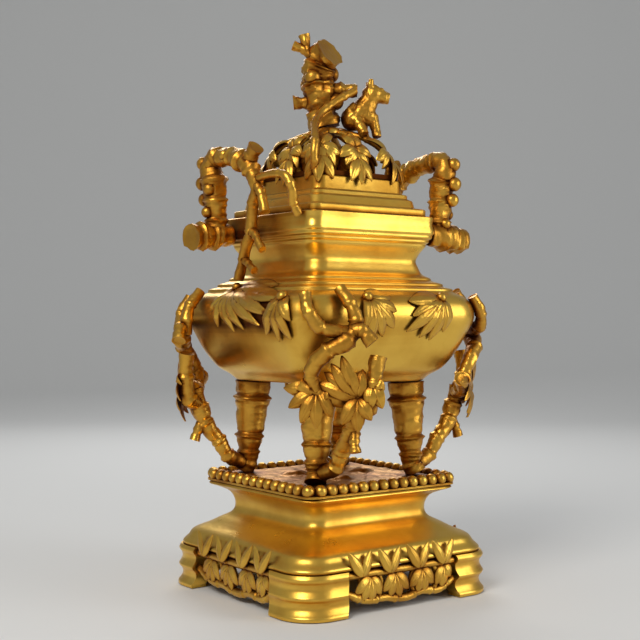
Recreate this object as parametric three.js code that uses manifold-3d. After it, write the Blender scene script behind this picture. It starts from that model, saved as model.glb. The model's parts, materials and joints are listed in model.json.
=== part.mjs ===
// Bamboo-form incense burner: a footed stand, a four-legged vessel and a pierced cover.
// Millimetres, +Z up. The origin is at the middle of the stand's underside.
// The handles stand at the two X sides and the near corner of the photograph is at -X, -Y.
import * as THREE from 'three';
import { mergeVertices } from 'three/addons/utils/BufferGeometryUtils.js';
import Module from 'manifold-3d';

const wasm = await Module();
wasm.setup();

// Driving sizes of the stand
const fitGap = 0.3;
const footHalf = 57.9;
const footCorner = 17;
const footHeight = 19.4;
const footWall = 8;
const footReach = 25;
const standTopHeight = 50.1;
const standTopHalf = 45;
const waistHalf = 35.2;
const shoulderHalf = 52;
const standWall = 6;
const groundHeight = 3.8;
const groundHalf = 38.6;
const beadPitchLine = 42.4;
const beadRadius = 3;
const beadsPerSide = 14;

// Driving sizes of the vessel
const legHeight = 45.4;
const legTopPlace = 26.5;
const legFootPlace = 28.5;
const legTopRadius = 8.8;
const legFootRadius = 4.2;
const bodyHalf = 54.4;
const bodyCorner = 16;
const neckHalf = 32.3;
const lipHalf = 38;
const lipCorner = 6;
const vesselHeight = 78.35;
const vesselWall = 4;
const mouthHalf = 31;

// Driving sizes of the cover
const coverSlabHalf = 34.6;
const plateauHalf = 26.2;
const coverHeight = 17.3;
const flangeDepth = 4;
const flangeWall = 3.2;
const smokeHoleHalf = 19;
const domeHeight = 25.5;
const domeHalf = 24;
const crownRadius = 9;
const finialHeight = 46.5;

// Levels that follow from the sizes
const groundBase = standTopHeight + fitGap;
const groundTop = groundBase + groundHeight;
const legBase = groundTop + fitGap;
const legTop = legBase + legHeight;
const bowlBase = legTop + fitGap;
const lipTop = bowlBase + vesselHeight;
const coverBase = lipTop + fitGap;
const plateauTop = coverBase + coverHeight;
const domeBase = plateauTop + fitGap;
const domeTop = domeBase + domeHeight;
const finialBase = domeTop + fitGap;
const flangeHalf = mouthHalf - 0.6;

const vector = (x, y, z) => new THREE.Vector3(x, y, z);

// A rounded square, anticlockwise seen from above
function squareRing(half, corner, z, arcSteps = 3) {
  const points = [];
  const radius = Math.min(corner, half - 0.5);
  const centre = half - radius;
  for (let side = 0; side < 4; side++) {
    const centreX = side === 0 || side === 3 ? centre : -centre;
    const centreY = side < 2 ? centre : -centre;
    for (let step = 0; step <= arcSteps; step++) {
      const angle = (side + step / arcSteps) * Math.PI / 2;
      points.push(vector(centreX + radius * Math.cos(angle), centreY + radius * Math.sin(angle), z));
    }
  }
  return points;
}

// Skins a list of equal rings; a ring-shaped body joins its last ring to its first
function loft(rings, ringShaped = false) {
  const count = rings[0].length;
  const positions = rings.flat().flatMap((point) => [point.x, point.y, point.z]);
  const index = [];
  const bands = ringShaped ? rings.length : rings.length - 1;
  for (let band = 0; band < bands; band++) {
    const low = band * count;
    const high = ((band + 1) % rings.length) * count;
    for (let here = 0; here < count; here++) {
      const next = (here + 1) % count;
      index.push(low + here, low + next, high + next, low + here, high + next, high + here);
    }
  }
  if (!ringShaped) {
    for (const [ring, start, last] of [[rings[0], 0, false], [rings.at(-1), (rings.length - 1) * count, true]]) {
      const middle = positions.length / 3;
      const centre = ring.reduce((sum, point) => sum.add(point), vector(0, 0, 0)).divideScalar(count);
      positions.push(centre.x, centre.y, centre.z);
      for (let here = 0; here < count; here++) {
        const next = (here + 1) % count;
        if (last) index.push(middle, start + here, start + next);
        else index.push(middle, start + next, start + here);
      }
    }
  }
  const geometry = new THREE.BufferGeometry();
  geometry.setAttribute('position', new THREE.Float32BufferAttribute(positions, 3));
  geometry.setIndex(index);
  return solidOf(geometry);
}

function solidOf(geometry) {
  const bare = geometry.clone();
  bare.deleteAttribute('normal');
  bare.deleteAttribute('uv');
  const merged = mergeVertices(bare, 1e-4);
  return new wasm.Manifold(new wasm.Mesh({
    numProp: 3,
    vertProperties: new Float32Array(merged.attributes.position.array),
    triVerts: new Uint32Array(merged.index.array),
  }));
}

function geometryOf(solid) {
  const mesh = solid.getMesh();
  const geometry = new THREE.BufferGeometry();
  geometry.setAttribute('position', new THREE.BufferAttribute(new Float32Array(mesh.vertProperties), 3));
  geometry.setIndex(new THREE.BufferAttribute(new Uint32Array(mesh.triVerts), 1));
  geometry.computeVertexNormals();
  return geometry;
}

const joined = (solids) => solids.reduce((whole, solid) => whole.add(solid));

// The largest single body that is left of a solid
function mainBody(solid) {
  const bodies = solid.decompose();
  return bodies.reduce((best, body) => (body.volume() > best.volume() ? body : best));
}

const seated = (solid, carriers) => mainBody(carriers.reduce((rest, carrier) => rest.subtract(carrier), solid));

const turned = (solid, degrees) => solid.rotate([0, 0, degrees]);

// A solid grown by the fitting gap along each axis, as the room its neighbours leave
const roomRound = (solid) => joined([[0, 0, fitGap], [0, 0, -fitGap], [fitGap, 0, 0], [-fitGap, 0, 0],
  [0, fitGap, 0], [0, -fitGap, 0]].map((shift) => solid.translate(shift)));

function boxesMeet(first, second) {
  const one = first.boundingBox();
  const two = second.boundingBox();
  return [0, 1, 2].every((axis) => one.min[axis] < two.max[axis] + fitGap
    && two.min[axis] < one.max[axis] + fitGap);
}

// What is left of a solid once it clears the neighbours already in place
function clearOf(solid, neighbours) {
  const near = neighbours.filter((neighbour) => boxesMeet(solid, neighbour));
  return mainBody(near.reduce((rest, neighbour) => rest.subtract(roomRound(neighbour)), solid));
}

function box(low, high) {
  const geometry = new THREE.BoxGeometry(high.x - low.x, high.y - low.y, high.z - low.z);
  geometry.translate((low.x + high.x) / 2, (low.y + high.y) / 2, (low.z + high.z) / 2);
  return solidOf(geometry);
}

function ball(centre, radius, stretch = vector(1, 1, 1), detail = 0) {
  const geometry = new THREE.IcosahedronGeometry(radius, detail);
  geometry.scale(stretch.x, stretch.y, stretch.z);
  geometry.translate(centre.x, centre.y, centre.z);
  return solidOf(geometry);
}

// A bamboo stem along a smooth path. Radii belong to the path's points, and
// nodes are the swollen rings, given as places counted in points.
const nodeSwell = 1.28;
const nodeHalfLength = 0.9;

function stem(points, radii, nodes = [], sides = 6, stepsPerSpan = 1) {
  const path = new THREE.CatmullRomCurve3(points, false, 'centripetal');
  const spans = points.length - 1;
  const swell = new Map();
  for (let step = 0; step <= spans * stepsPerSpan; step++) swell.set(step / stepsPerSpan, 1);
  for (const node of nodes) {
    const span = Math.min(Math.floor(node), spans - 1);
    const half = nodeHalfLength / points[span].distanceTo(points[span + 1]);
    for (const stop of [...swell.keys()]) if (Math.abs(stop - node) < half * 1.3) swell.delete(stop);
    swell.set(Math.max(node - half, 0), 1);
    swell.set(node, nodeSwell);
    swell.set(Math.min(node + half, spans), 1);
  }
  if (!swell.has(0)) swell.set(0, 1);
  if (!swell.has(spans)) swell.set(spans, 1);
  const stops = [...swell.keys()].sort((first, second) => first - second);
  let across = null;
  const rings = stops.map((stop) => {
    const along = path.getTangent(stop / spans);
    if (across === null) across = vector(0.31, 0.17, 0.93).cross(along).normalize();
    across = across.sub(along.clone().multiplyScalar(across.dot(along))).normalize();
    const over = along.clone().cross(across);
    const centre = path.getPoint(stop / spans);
    const span = Math.min(Math.floor(stop), spans - 1);
    const radius = THREE.MathUtils.lerp(radii[span], radii[span + 1], stop - span) * swell.get(stop);
    const ring = [];
    for (let side = 0; side < sides; side++) {
      const angle = side / sides * 2 * Math.PI;
      ring.push(centre.clone()
        .addScaledVector(across, radius * Math.cos(angle))
        .addScaledVector(over, radius * Math.sin(angle)));
    }
    return ring;
  });
  return loft(rings);
}

// A pointed leaf with a raised midrib, arched away from what it lies on
const leafStations = [[0, 0.22], [0.34, 1], [0.7, 0.66], [1, 0.1]];
const leafThickness = 1.9;

function leaf(base, tip, width, outward, arch = 1.2) {
  const along = tip.clone().sub(base);
  const direction = along.clone().normalize();
  const across = direction.clone().cross(outward).normalize();
  const up = across.clone().cross(direction).normalize();
  const rings = leafStations.map(([place, share]) => {
    const centre = base.clone().addScaledVector(along, place)
      .addScaledVector(up, arch * 4 * place * (1 - place));
    const half = width / 2 * share;
    const rise = leafThickness / 2 * (0.4 + 0.6 * share);
    return [
      centre.clone().addScaledVector(up, rise),
      centre.clone().addScaledVector(across, half).addScaledVector(up, -rise),
      centre.clone().addScaledVector(across, -half).addScaledVector(up, -rise),
    ];
  });
  return loft(rings);
}

const object = new THREE.Group();
const materials = {
  polished: { color: 0xb0862f, roughness: 0.32, metalness: 1 },
  aged: { color: 0x8a5f22, roughness: 0.45, metalness: 1 },
  leafGilt: { color: 0xb88a35, roughness: 0.38, metalness: 1 },
  dark: { color: 0x6b4618, roughness: 0.55, metalness: 1 },
};

function addNode(name, solid, finish) {
  const mesh = new THREE.Mesh(geometryOf(solid), new THREE.MeshStandardMaterial(materials[finish]));
  mesh.name = name;
  object.add(mesh);
}

// Stand shell: skirt, sloping shoulder, drawn-in waist and top, open underneath
const skirtBase = footHeight + fitGap;
const standProfile = [
  [footHalf - 2.3, 15, skirtBase],
  [shoulderHalf + 1.4, 14, skirtBase + 4],
  [shoulderHalf, 14, skirtBase + 6.6],
  [46, 12, skirtBase + 9.8],
  [41.5, 10, skirtBase + 12.4],
  [waistHalf + 0.8, 8, skirtBase + 16],
  [waistHalf, 8, skirtBase + 20.6],
  [waistHalf + 1.9, 8, skirtBase + 25.5],
  [standTopHalf - 3, 9, skirtBase + 28.2],
  [standTopHalf, 10, standTopHeight - 1],
  [standTopHalf - 0.6, 10, standTopHeight],
];
const cavityProfile = [
  [footHalf - 2.3 - standWall, 10, skirtBase],
  [shoulderHalf - standWall, 9, skirtBase + 2],
  [waistHalf - standWall + 6, 8, skirtBase + 8],
  [waistHalf - standWall, 6, skirtBase + 14],
];
const rings = (profile) => profile.map(([half, corner, z]) => squareRing(half, corner, z));
const standOuter = rings(standProfile);
const standInner = rings(cavityProfile);
const standCut = loft([squareRing(cavityProfile[0][0], cavityProfile[0][1], skirtBase - 1), ...standInner]);
addNode('stand_shell', loft(standOuter).subtract(standCut), 'polished');

// Corner feet: the flared ring of the foot, kept only at its corners
const footProfile = [
  [footHalf, footCorner, 0],
  [footHalf - 0.4, footCorner, 2.2],
  [footHalf - 1.6, footCorner, 5],
  [footHalf - 0.5, footCorner, 9.2],
  [footHalf - 0.2, footCorner, 10.4],
  [footHalf - 1.2, footCorner, 12],
  [footHalf - 1.6, footCorner - 1, 15.5],
  [footHalf - 0.6, footCorner - 1, 17.6],
  [footHalf - 1.8, footCorner - 1, footHeight],
];
const footRing = loft(rings(footProfile)).subtract(
  loft([-1, footHeight + 1].map((z) => squareRing(footHalf - footWall, 10, z))));
const cornerNames = ['back_right', 'back_left', 'front_left', 'front_right'];
const footInnerEdge = footHalf - footReach;
const cornerBlock = box(vector(footInnerEdge, footInnerEdge, -1), vector(70, 70, footHeight + 1));
cornerNames.forEach((name, quarter) => {
  addNode(`stand_foot_${name}`, footRing.intersect(turned(cornerBlock, quarter * 90)), 'polished');
});

// Apron: canes and leaves pierced between two feet, modelled on the front side
const apronOut = -(footHalf - 4.2);
const apronHalf = footInnerEdge - fitGap - 1;
const apronPoint = (s, z, proud = 0) => vector(s, apronOut - proud, z);
const apronTop = footHeight - 2.2;
const apronNormal = vector(0, -1, 0);
const apronCanes = [
  [[[-apronHalf, apronTop], [0, apronTop - 0.2], [apronHalf, apronTop]], 2],
  [[[-apronHalf, 9.5], [-20, 5.4], [-9, 5.2], [2, 3.6], [13, 5.4], [22, 4.6], [apronHalf, 8.5]], 1.9],
  [[[-24, apronTop], [-22, 11], [-21, 5.6]], 1.5],
  [[[-4, apronTop], [-1, 11], [-2, 4.4]], 1.5],
  [[[19, apronTop], [22, 11], [20, 5]], 1.5],
];
const apronLeaves = [
  [-14, 15.5, -18, 5], [-14, 15.5, -9, 6], [9, 15.5, 5, 6], [9, 15.5, 14, 5],
];
const apron = mainBody(joined([
  ...apronCanes.map(([points, radius]) => stem(
    points.map(([s, z]) => apronPoint(s, z)), points.map(() => radius), [1], 4)),
  ...apronLeaves.map(([s, z, tipS, tipZ]) => leaf(
    apronPoint(s, z, 0.6), apronPoint(tipS, tipZ, 1), 4.6, apronNormal, 0.6)),
]));
['front', 'right', 'back', 'left'].forEach((name, quarter) => {
  addNode(`apron_${name}`, turned(apron, quarter * 90), 'leafGilt');
});

// Bead border: one closed rope of beads round the stand's top
const beadLevel = groundBase + beadRadius;
const beadNeck = 0.45;
const beadCorner = 5;
const beadSides = 6;
const beadLine = new THREE.CurvePath();
const beadCorners = squareRing(beadPitchLine, beadCorner, beadLevel, 4);
beadCorners.forEach((point, place) => beadLine.add(
  new THREE.LineCurve3(point, beadCorners[(place + 1) % beadCorners.length])));
const beadRings = [];
const beadStops = beadsPerSide * 4 * 2;
for (let stop = 0; stop < beadStops; stop++) {
  const centre = beadLine.getPointAt(stop / beadStops);
  const along = beadLine.getPointAt(((stop + 0.1) % beadStops) / beadStops).sub(centre).normalize();
  const out = along.clone().cross(vector(0, 0, 1));
  const radius = beadRadius * (stop % 2 ? 1 : beadNeck);
  const ring = [];
  for (let side = 0; side < beadSides; side++) {
    const angle = side / beadSides * 2 * Math.PI;
    ring.push(centre.clone().addScaledVector(out, radius * Math.sin(angle))
      .add(vector(0, 0, radius * Math.cos(angle))));
  }
  beadRings.push(ring);
}
addNode('bead_border', loft(beadRings, true), 'leafGilt');

// Rockwork ground that the legs stand on
const rocks = [[0, 0, 9, 5], [17, -4, 7, 4], [-15, 8, 8, 4], [3, 18, 7, 3.5], [-6, -19, 7, 3.5]];
const groundPlate = loft([
  squareRing(groundHalf, 7, groundBase), squareRing(groundHalf, 7, groundBase + 2.4),
  squareRing(groundHalf - 1.6, 6, groundTop)]);
const ground = joined([groundPlate, ...rocks.map(([x, y, radius, height]) => ball(
  vector(x, y, groundTop - 1), radius, vector(1, 1, height / radius)))]).intersect(
  box(vector(-60, -60, groundBase), vector(60, 60, groundTop + 12)));
addNode('stand_ground', ground, 'dark');

// Vessel: hollow rounded-square body, drawn-in neck and ridged lip, as one casting
const bodyProfile = [
  [36.6, 15, 0], [39.2, bodyCorner, 2.6], [43.4, bodyCorner, 6], [48.3, bodyCorner, 14],
  [51.8, bodyCorner, 22.5], [bodyHalf, bodyCorner, 30], [53.6, bodyCorner, 36], [50.8, 15, 39.8],
  [46.2, 14, 42.8], [46.2, 13, 43.8], [42.4, 12, 45.2], [42.2, 11, 46.2], [37.8, 10, 48], [37.4, 9, 49],
  [34.3, 8.5, 51], [neckHalf + 0.7, 8, 54.4], [neckHalf, 8, 57.1], [neckHalf + 1.2, 8, 60.7],
  [35.4, 7, 64.6], [35.4, 7, 65.6], [36.4, 7, 66.2], [36.4, 7, 67.4], [37.5, 7, 68.2], [37.5, 7, 69.6],
  [lipHalf, lipCorner, 70.6], [lipHalf - 0.6, lipCorner, 74.4], [lipHalf - 0.3, lipCorner, vesselHeight],
];
const bowlInside = [
  [mouthHalf, 5, vesselHeight], [mouthHalf, 5, 69], [neckHalf - vesselWall, 6, 60], [neckHalf - vesselWall, 6, 51.6],
  [46, bodyCorner - vesselWall, 38.6], [bodyHalf - vesselWall, bodyCorner - vesselWall, 30],
  [47.6, bodyCorner - vesselWall, 22], [43.6, bodyCorner - vesselWall, 13], [38.4, bodyCorner - vesselWall, 6.4],
  [34, 11, vesselWall],
];
const raised = (profile, grow = 0) => profile.map(
  ([half, corner, z]) => squareRing(half + grow, corner + grow, z + bowlBase));
addNode('vessel_bowl', loft([...raised(bodyProfile), ...raised(bowlInside)]), 'polished');
const bowlRoom = loft([
  squareRing(bodyProfile[0][0] + fitGap, 15, bowlBase - fitGap),
  ...raised(bodyProfile, fitGap),
  squareRing(bodyProfile.at(-1)[0] + fitGap, lipCorner, lipTop + fitGap)]);

// How far out the vessel's side stands, at a place along a side and a height
function sideOut(s, z) {
  const level = z - bowlBase;
  const upper = bodyProfile.findIndex(([, , height]) => height >= level);
  const [highHalf, highCorner, highZ] = bodyProfile[upper];
  const [lowHalf, lowCorner, lowZ] = bodyProfile[Math.max(upper - 1, 0)];
  const share = highZ > lowZ ? (level - lowZ) / (highZ - lowZ) : 1;
  const half = THREE.MathUtils.lerp(lowHalf, highHalf, share);
  const corner = THREE.MathUtils.lerp(lowCorner, highCorner, share);
  const past = Math.min(Math.max(Math.abs(s) - (half - corner), 0), corner);
  return half - corner + Math.sqrt(corner * corner - past * past);
}

// Legs: bamboo stems that thin towards the foot, modelled at the right back corner
const legPath = [
  [legFootPlace + 1.6, legBase - 1, legFootRadius + 0.8],
  [legFootPlace, legBase + 4, legFootRadius],
  [legFootPlace - 0.4, legBase + 12, legFootRadius + 1.2],
  [legFootPlace - 1, legBase + 22, legFootRadius + 2.6],
  [legTopPlace + 0.4, legTop - 11, legTopRadius - 0.9],
  [legTopPlace, legTop + 1, legTopRadius],
];
const legTrim = box(vector(-70, -70, legBase), vector(70, 70, legTop));
const leg = stem(
  legPath.map(([place, z]) => vector(place, place, z)), legPath.map(([, , radius]) => radius),
  [1, 1.7, 2.6, 4], 8).intersect(legTrim);
const legRoom = stem(
  legPath.map(([place, z]) => vector(place, place, z)), legPath.map(([, , radius]) => radius + fitGap),
  [1, 1.7, 2.6, 4], 8);
cornerNames.forEach((name, quarter) => addNode(`leg_${name}`, turned(leg, quarter * 90), 'aged'));

// Leg branch: the gnarled side shoot outside each leg, in the near corner's own directions:
// outward along the diagonal, sideways to the right, and up from the leg's base
const diagonal = Math.SQRT1_2;
const cornerPoint = (outward, sideways, z) => vector(
  -outward * diagonal + sideways * diagonal, -outward * diagonal - sideways * diagonal, z);
const branchStems = [
  [[[43, 3, 59.5], [48, 10, 63.5], [52, 13, 71], [57, 17.5, 79], [59, 20, 86], [62, 21, 96]],
    [3.4, 3.4, 3.6, 3.8, 4, 4.2], [1, 3]],
  [[[58, 19, 82], [61, 20, 75], [62, 20.5, 71.5]], [2.4, 2.2, 2.6], []],
  [[[59, 20, 88], [63, 26.5, 92], [64, 28.6, 99], [64, 29.4, 107], [63, 30.5, 113.5]],
    [3.2, 3.6, 3.6, 3.4, 3.8], [2.4]],
  [[[61, 20, 93], [64, 11.6, 95.3], [65, 3, 98], [65, -3.5, 101]], [3.4, 3.8, 3.4, 4], []],
  [[[65, 4, 98], [66, 1.6, 104], [68, 3.4, 110], [70, 9.8, 116], [69, 17, 120], [67, 20, 124]],
    [3.4, 3.2, 3.6, 3.6, 3.8, 3.6], [3]],
  [[[67, 19, 124], [68, 24, 124.5], [68, 28.4, 119.3]], [3.2, 3.2, 3.4], []],
  [[[69.5, -0.6, 140.5], [73.5, 2.1, 132], [72.5, 6.5, 126], [67.5, 17.5, 123.6]], [2.6, 2.6, 2.9, 3.2], [1]],
  [[[61, 13.4, 143], [65, 18.6, 135.6], [65.6, 21.2, 129], [66.5, 20, 122.5]], [2.7, 2.8, 2.9, 3.2], [0.9, 2]],
];
const branchLeaves = [[66, 7.3, 106.7], [69, 15.2, 114]];
const branchLeafBase = cornerPoint(66.5, 22, 95.5);
const cornerOut = cornerPoint(1, 0, 0);
const branch = seated(joined([
  ...branchStems.map(([points, radii, nodes]) => stem(
    points.map((point) => cornerPoint(...point)), radii, nodes, 5)),
  ...branchLeaves.map((tip) => leaf(branchLeafBase, cornerPoint(...tip), 5.4, cornerOut, 2)),
  ball(cornerPoint(63, 21, 96), 4.6),
]), [bowlRoom, turned(legRoom, 180)]);
const vesselPieces = [];
function addVesselPiece(name, solid, finish) {
  const piece = clearOf(solid, vesselPieces);
  vesselPieces.push(piece);
  addNode(name, piece, finish);
}
cornerNames.forEach((name, quarter) => {
  addVesselPiece(`leg_branch_${name}`, turned(branch, quarter * 90 - 180), 'aged');
});

// Leaf sprays that lie on the vessel's shoulder. Each is a place and height on a side,
// then the tips of its leaves, modelled on the front side and turned to its own.
const sideLift = 1.5;
function onSide(s, z, lift = sideLift) {
  return vector(s, -sideOut(s, z) - lift, z);
}
function spray(origin, tips, width) {
  const base = onSide(...origin, 2.2);
  const outward = vector(0, -1, 0.35).normalize();
  return seated(joined([
    ball(base, 2.7),
    ...tips.map((tip) => leaf(base, onSide(...tip), width, outward, 2.4)),
  ]), [bowlRoom]);
}
const sprays = [
  ['handle_spray', -90, [-10.4, 144.4], 6.4,
    [[-14.8, 125.8], [-1.7, 123.6], [6.8, 124.6], [20.7, 126.6], [36.9, 138.6], [21.2, 144.8], [-20.1, 132.9]]],
  ['corner_spray', -90, [36.5, 139.5], 6, [[24, 122.5], [32.5, 119.5], [40.5, 120.5]]],
  ['shoulder_spray', 0, [-18.5, 139.5], 6,
    [[-4.7, 139.5], [-3.3, 133.1], [-3.8, 125.5], [-9.4, 121.6], [-15.6, 119.1]]],
  ['side_spray', 0, [25.5, 139.5], 6, [[5.2, 137.8], [6.1, 131], [3.9, 123.8], [12.5, 120.9], [18.9, 119.6]]],
];
for (const [name, turn, origin, width, tips] of sprays) {
  const solid = spray(origin, tips, width);
  addVesselPiece(`${name}_a`, turned(solid, turn), 'leafGilt');
  addVesselPiece(`${name}_b`, turned(solid, turn + 180), 'leafGilt');
}

// Handles: a knobbly rhizome post, arched over into a slim bamboo cane
const handlePoint = ([x, y, z]) => vector(-x, y, z);
const handleStems = [
  [[[36.5, 29, 170.6], [47, 29.2, 169.9], [55, 28.3, 169.2], [61.5, 27.4, 168.6]], [5.4, 6.2, 5.8, 6.6], [2.2]],
  [[[47, 29.2, 169.9], [46.5, 29, 177], [47, 29.1, 187], [47.5, 29.3, 196.8], [48, 31, 203.4], [48, 26.6, 207.4],
    [48, 20, 206.8], [48, 12, 206], [48, 5, 204], [47.5, -1, 201], [47, -5.4, 195], [46.5, -6, 189],
    [46, -2.7, 183.3], [45.5, -0.3, 176.6], [45, 0.5, 170.1], [45.6, 3.8, 163.8], [45, 7.4, 157.4], [45.8, 10, 148]],
    [5.2, 5, 5.3, 5.8, 5.2, 4.4, 4.6, 4.2, 4.8, 4.7, 3.6, 2.9, 2.7, 2.7, 2.6, 2.6, 2.5, 2.6],
    [2, 3, 7, 9.5, 12, 14, 16]],
  [[[47, -4.8, 193], [47, -10.6, 188], [48, -15.6, 178]], [2.4, 2, 2.3], [1]],
  [[[45, 0.4, 171], [45.6, -4.5, 168], [46.5, -11.2, 161.2]], [2.2, 1.8, 2], []],
  [[[45, 7.2, 158], [45.4, 2, 155.4], [46.6, -5, 151.8]], [2.1, 1.7, 1.9], []],
  [[[47.5, 0, 201.5], [48, -4, 205], [48, -8, 208.5]], [3.8, 3.2, 3.9], []],
];
const handleKnobs = [[50, 35, 205, 3.6], [50, 35.4, 195.4, 3.9], [49, 35, 187.6, 3.6], [51.5, 27, 192, 3.4]];
const handle = seated(joined([
  ...handleStems.map(([points, radii, nodes]) => stem(points.map(handlePoint), radii, nodes, 6)),
  ...handleKnobs.map(([x, y, z, radius]) => ball(handlePoint([x, y, z]), radius)),
]), [bowlRoom]);
const twig = seated(stem(
  [[47, -8.6, 194.4], [46.4, -20, 195.4], [45.4, -28.4, 193.6], [43.6, -30.8, 187.4], [41.6, -29, 181.6],
    [37.4, -29.4, 175.6]].map(handlePoint), [1.9, 1.8, 1.9, 2, 2, 2.2], [1.4, 4], 6),
[bowlRoom]);
for (const [side, turn] of [['left', 0], ['right', 180]]) {
  addVesselPiece(`handle_${side}`, turned(handle, turn), 'aged');
  addVesselPiece(`handle_twig_${side}`, turned(twig, turn), 'aged');
}

// Cover shell: stepped slab and plateau, with a flange that locates in the vessel's mouth
const coverProfile = [
  [flangeHalf, 4.4, -flangeDepth], [flangeHalf, 4.4, 0], [coverSlabHalf, 4.6, 0], [coverSlabHalf, 4.6, 3.2],
  [30.9, 5, 4.2], [30.2, 5, 7.4], [28.5, 5, 8.4], [28.5, 5, 10.2], [plateauHalf, 5, 11.1],
  [plateauHalf, 5, coverHeight - 0.6], [plateauHalf - 0.7, 5, coverHeight],
  [smokeHoleHalf, 4, coverHeight], [smokeHoleHalf, 4, coverHeight - 3.4], [plateauHalf - 3.4, 4, coverHeight - 5],
  [flangeHalf - flangeWall, 3.4, 2], [flangeHalf - flangeWall, 3.4, -flangeDepth],
];
addNode('cover_shell', loft(coverProfile.map(
  ([half, corner, z]) => squareRing(half, corner, z + coverBase)), true), 'polished');

// Pierced dome of canes and leaves over the smoke hole
const domeProfile = [[domeHalf - 1.2, 0], [domeHalf + 0.6, 7], [domeHalf - 2.6, 14], [15.4, 20.6], [5, domeHeight - 1.4]];
function onDome(turn, z, lift = 0) {
  const upper = Math.max(domeProfile.findIndex(([, height]) => height >= z), 1);
  const [highHalf, highZ] = domeProfile[upper];
  const [lowHalf, lowZ] = domeProfile[upper - 1];
  const half = THREE.MathUtils.lerp(lowHalf, highHalf, (z - lowZ) / (highZ - lowZ)) + lift;
  const angle = turn * Math.PI / 180;
  const squareness = 0.62 / Math.max(Math.abs(Math.cos(angle)), Math.abs(Math.sin(angle))) + 0.38;
  return vector(half * squareness * Math.cos(angle), half * squareness * Math.sin(angle), domeBase + z);
}
const archRadius = 1.7;
const archTurns = [5, 45, 88, 135, 184, 225, 266, 315];
const leafLevel = 14;
const domeArches = archTurns.map((turn, place) => {
  const bend = place % 2 ? 5 : -6;
  const heights = [1.4, 7, leafLevel, 20, domeHeight - 1.6];
  return stem(heights.map((z, step) => onDome(turn + bend * Math.sin(step * Math.PI / 2), z)),
    heights.map(() => archRadius), [1], 4);
});
const domeRing = loft([
  squareRing(domeHalf + 1.2, 6, domeBase), squareRing(domeHalf + 1, 6, domeBase + 2.4),
  squareRing(domeHalf - 2.6, 5, domeBase + 2.4), squareRing(domeHalf - 2.6, 5, domeBase),
], true);
const domeLeafTips = [[-15, 5], [14, 4], [-13, 20]];
const domeLeaves = archTurns.flatMap((turn) => domeLeafTips.map(([offset, tipZ]) => leaf(
  onDome(turn, leafLevel, 0.8), onDome(turn + offset, tipZ, 1.4), 5.4,
  onDome(turn, leafLevel).setZ(leafLevel).normalize(), 1.6)));
const crown = loft([0, 1.6, 3].map((z, step) => squareRing(
  crownRadius - step * 0.6, crownRadius - 2, domeTop - 3 + z)));
const fretwork = mainBody(joined([domeRing, ...domeArches, ...domeLeaves, crown])
  .intersect(box(vector(-50, -50, domeBase), vector(50, 50, domeTop))));
addNode('cover_fretwork', fretwork, 'leafGilt');

// Finial: a gnarled root stump with a cut face, side stubs and flared shoots
const finialPoint = ([x, y, z]) => vector(x, y, finialBase + z);
const stumpStems = [
  [[[-1.5, 1, -2], [-3, 2.4, 8], [-4, 3.2, 19], [-4, 3.4, 28], [-2.8, 0.6, 34], [-1.6, -3.6, 36.4]],
    [7.8, 6.6, 7.6, 7.2, 7.4, 7.8], [1, 2.2, 3.4]],
  [[[-4, 3, 14], [-9, 6.6, 13], [-14, 10.2, 12.4]], [3.6, 3, 3.4], [1]],
  [[[-2, 2, 17], [5, -4, 18.6], [11, -8.4, 18.4]], [4.4, 3.4, 3], [1]],
  [[[-6, 4.6, 32], [-8.2, 6, 38.5], [-9.7, 7.2, finialHeight]], [2.6, 1.9, 2.6], []],
  [[[-6, 4.6, 34], [-9.6, 7.2, 38.4], [-14, 10.4, 40.6]], [2.4, 1.9, 2.4], []],
];
const stumpKnobs = [[-9.4, 0.4, 24, 4], [2.2, 1.6, 27, 4.2], [-6, 8.8, 22, 4], [1.4, -3.4, 13, 4.2]];
const stumpTrim = box(vector(-40, -40, finialBase), vector(40, 40, finialBase + finialHeight));
const stump = mainBody(joined([
  ...stumpStems.map(([points, radii, nodes]) => stem(points.map(finialPoint), radii, nodes, 8)),
  ...stumpKnobs.map(([x, y, z, radius]) => ball(finialPoint([x, y, z]), radius)),
]).intersect(stumpTrim));
addNode('finial_stump', stump, 'aged');
// Small crouching beast beside the stump
const beast = seated(joined([
  ball(finialPoint([10.4, -7.4, 5.4]), 5.6, vector(1, 1, 1.1), 1),
  ball(finialPoint([15, -11, 5.4]), 4.6),
  stem([[12, -8.6, 7], [15.6, -11.2, 12], [17.6, -12.8, 18]].map(finialPoint), [5, 3.9, 3.6], [], 7),
  ball(finialPoint([17.8, -13, 18.4]), 4.2),
  stem([[18.6, -13.6, 18.6], [22, -16, 16.8], [24, -17.4, 15.8]].map(finialPoint), [3.3, 2.4, 1.9], [], 6),
  stem([[17, -14, 20.6], [17.4, -15, 24]].map(finialPoint), [1.9, 0.7], [], 4),
  stem([[19.4, -11.4, 20.6], [20, -11.6, 24]].map(finialPoint), [1.9, 0.7], [], 4),
  stem([[9, -10.6, 4], [9.6, -14, -1.4], [9.8, -16, -3.8]].map(finialPoint), [2.6, 2.1, 2.2], [], 5),
  stem([[16.6, -13, 5], [17.4, -15, -1], [17.6, -16, -4.6]].map(finialPoint), [2.5, 1.9, 2.2], [], 5),
  stem([[15, -7, 5], [17, -5.6, -1], [18.6, -5, -3.4]].map(finialPoint), [2.5, 1.9, 2.2], [], 5),
]), [roomRound(stump), roomRound(fretwork)]);
addNode('finial_beast', beast, 'aged');

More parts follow.
